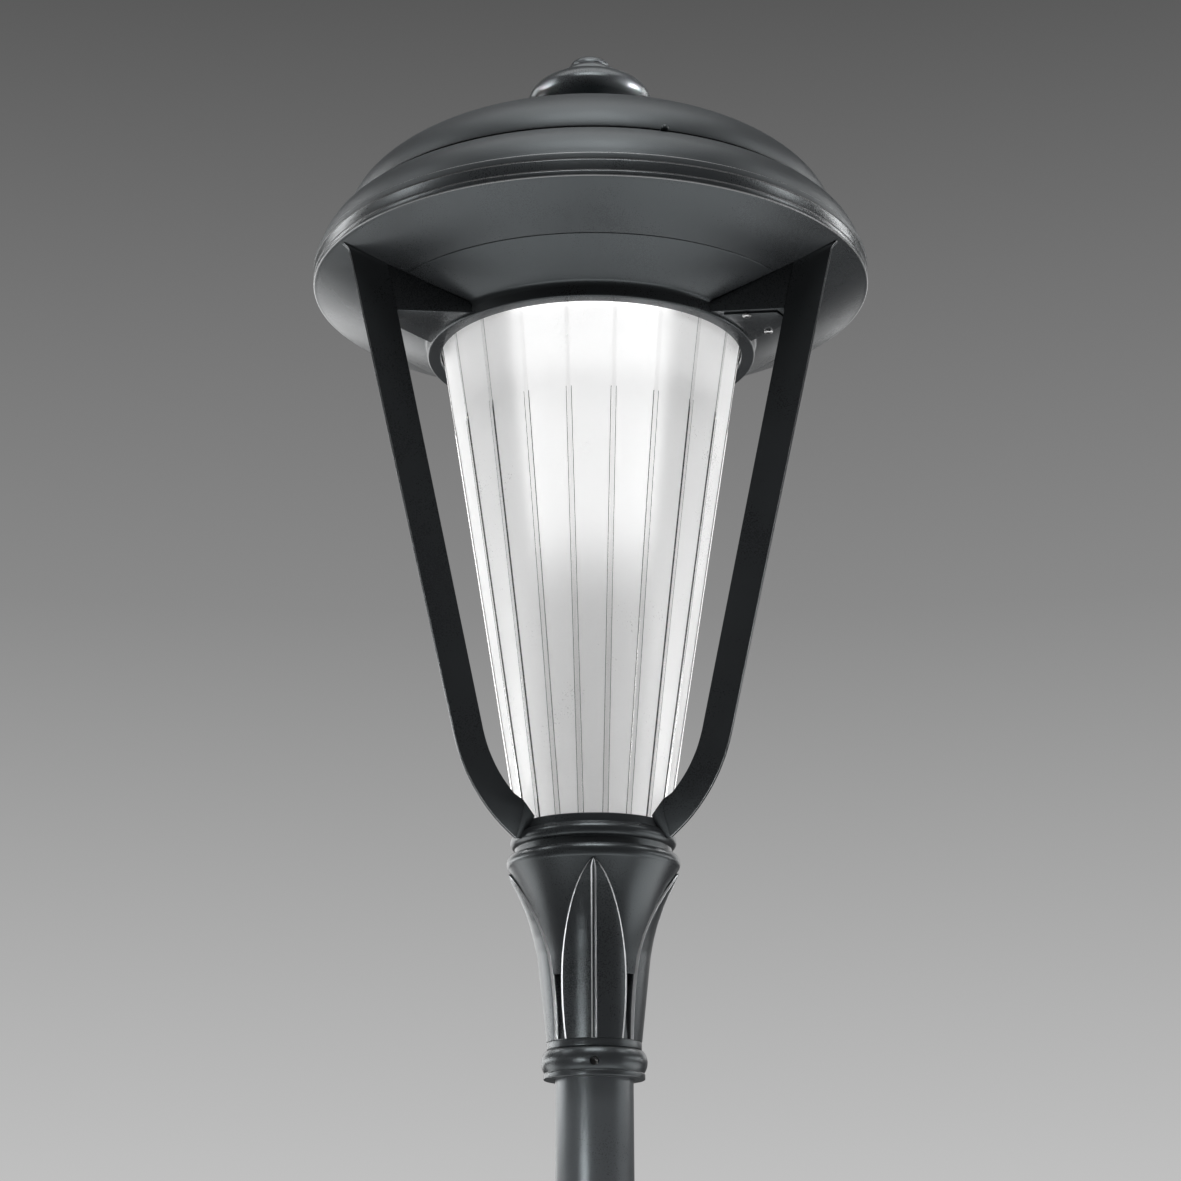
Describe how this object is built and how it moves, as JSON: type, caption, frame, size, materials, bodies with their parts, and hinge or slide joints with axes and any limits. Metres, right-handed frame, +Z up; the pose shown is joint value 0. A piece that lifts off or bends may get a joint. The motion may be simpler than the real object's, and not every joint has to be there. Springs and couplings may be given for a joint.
{
  "type": "led street lantern",
  "caption": "LED street lantern on a pole top: domed canopy with tiered finial, V-section arms, fluted frosted diffuser and a leafed neck casting in dark grey.",
  "frame": {"origin": "on the pole's axis, level with the lower edge of the neck's collar", "axes": "+Z up along the pole's axis, -Y towards the viewer of the picture, +X to the viewer's right"},
  "size_m": [0.584, 0.584, 1.2207],
  "materials": {
    "powder_coat": "satin textured powder coat, anthracite",
    "pole_paint": "satin paint, anthracite",
    "screw_steel": "stainless, satin",
    "seal_rubber": "matt silicone",
    "frosted_diffuser": "frosted, fluted",
    "clear_lens": "clear, polished",
    "bare_aluminium": "bare, satin",
    "zinc_sheet": "zinc plated",
    "white_board": "white solder mask",
    "led_chip": "phosphor yellow",
    "driver_case": "white moulded case",
    "terminal_plastic": "natural polyamide",
    "gland_plastic": "black polyamide"
  },
  "bodies": {
    "root": {"pole_stub": "pole_paint", "neck_casting": "powder_coat", "grub_screws": "screw_steel", "base_cup": "powder_coat", "arm_right": "powder_coat", "arm_rear": "powder_coat", "arm_left": "powder_coat", "frame_ring": "powder_coat", "arm_screws": "screw_steel", "lamp_tray": "powder_coat", "cable_cover": "powder_coat", "cable_cover_screws": "screw_steel", "cable_gland": "gland_plastic", "tray_screws": "screw_steel", "rim_ring": "powder_coat", "canopy_ring": "powder_coat", "rim_seal": "seal_rubber", "dome_cover": "powder_coat", "dome_seal": "seal_rubber", "cover_catch": "powder_coat", "finial": "powder_coat", "finial_bolt": "screw_steel", "diffuser": "frosted_diffuser", "diffuser_head_seal": "seal_rubber", "diffuser_foot_seal": "seal_rubber", "heat_sink": "bare_aluminium", "lamp_screws": "screw_steel", "led_board": "white_board", "led_emitters": "led_chip", "lens_plate": "clear_lens", "reflector_ring": "white_board", "gear_posts": "bare_aluminium", "gear_plate": "zinc_sheet", "led_driver": "driver_case", "surge_protector": "driver_case", "terminal_block": "terminal_plastic"}
  },
  "joints": []
}
